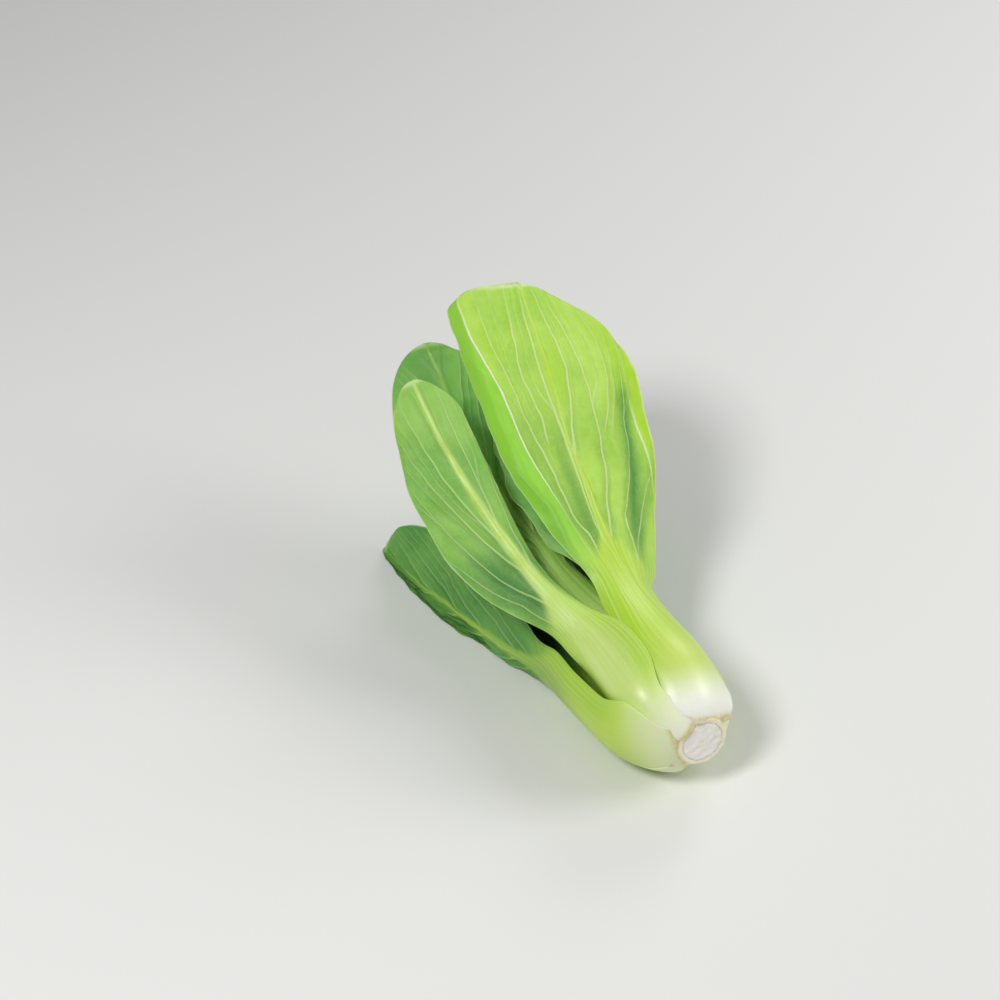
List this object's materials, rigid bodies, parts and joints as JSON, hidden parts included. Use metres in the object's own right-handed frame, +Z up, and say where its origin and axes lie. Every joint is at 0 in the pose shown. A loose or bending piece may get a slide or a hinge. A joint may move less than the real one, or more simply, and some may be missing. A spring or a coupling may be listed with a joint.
{
  "type": "bok choy",
  "caption": "Head of baby bok choy cut from its root and lying on its side: a pale bulb of broad stalks that fans out into rounded green leaf blades.",
  "frame": {"origin": "under the middle of the lying head, on the surface", "axes": "+Z up, the head lies along Y with the cut stem at the -Y end and the leaf tips at the +Y end"},
  "size_m": [0.1156, 0.2128, 0.1264],
  "materials": {
    "leaf_outer": "satin",
    "leaf_inner": "satin",
    "leaf_heart": "satin",
    "cut_stem": "matte"
  },
  "bodies": {
    "root": {"stem_base": "cut_stem", "outer_leaf_bottom": "leaf_outer", "outer_leaf_lower_left": "leaf_outer", "outer_leaf_upper_left": "leaf_outer", "outer_leaf_top": "leaf_outer", "outer_leaf_right": "leaf_outer", "inner_leaf_top": "leaf_inner", "inner_leaf_upper_right": "leaf_inner", "inner_leaf_left": "leaf_inner", "inner_leaf_lower_right": "leaf_inner", "inner_leaf_bottom": "leaf_inner", "heart_leaf_1": "leaf_heart", "heart_leaf_2": "leaf_heart", "heart_leaf_3": "leaf_heart"}
  },
  "joints": []
}
